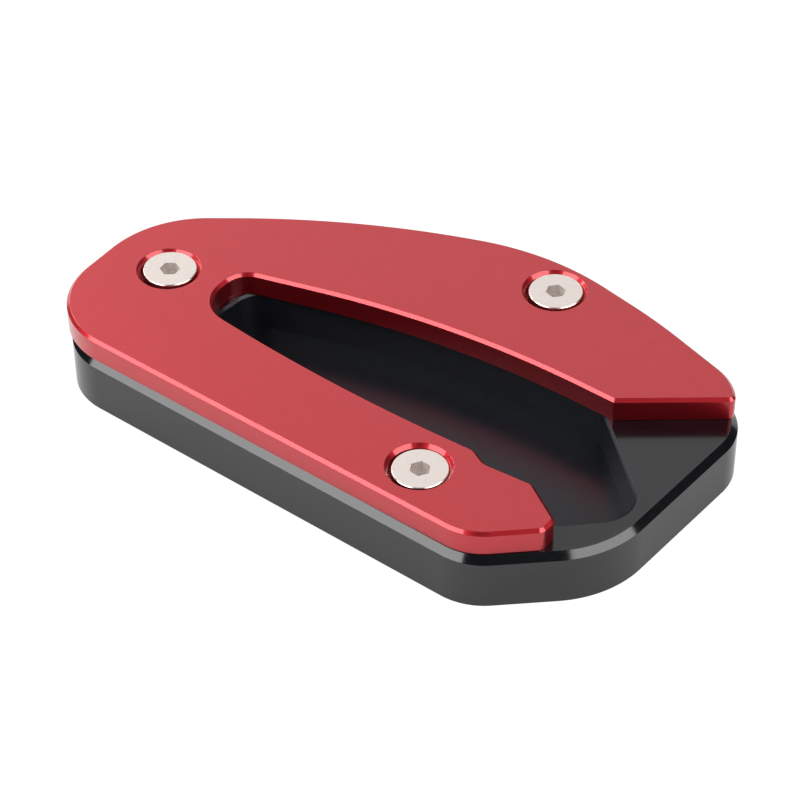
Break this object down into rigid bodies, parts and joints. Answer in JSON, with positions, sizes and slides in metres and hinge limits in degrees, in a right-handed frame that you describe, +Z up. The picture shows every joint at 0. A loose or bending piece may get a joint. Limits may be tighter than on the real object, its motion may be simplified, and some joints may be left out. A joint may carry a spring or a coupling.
{
  "type": "kickstand foot enlarger",
  "caption": "Wide foot plate for a motorcycle kickstand: a black pocketed base and a red C-shaped clamp plate that closes over the stand's foot, held by low head socket screws.",
  "frame": {"origin": "middle of the plan at the base plate's underside", "axes": "+Z up out of the ground, +X from the heel to the open mouth, +Y to the far arm with the pointed lip"},
  "size_m": [0.101, 0.0606, 0.0132],
  "materials": {
    "base_plate": "gloss black anodised",
    "clamp_plate": "satin red anodised",
    "clamp_screws": "bright steel"
  },
  "bodies": {
    "root": {"base_plate": "base_plate", "clamp_plate": "clamp_plate", "clamp_screws": "clamp_screws"}
  },
  "joints": []
}
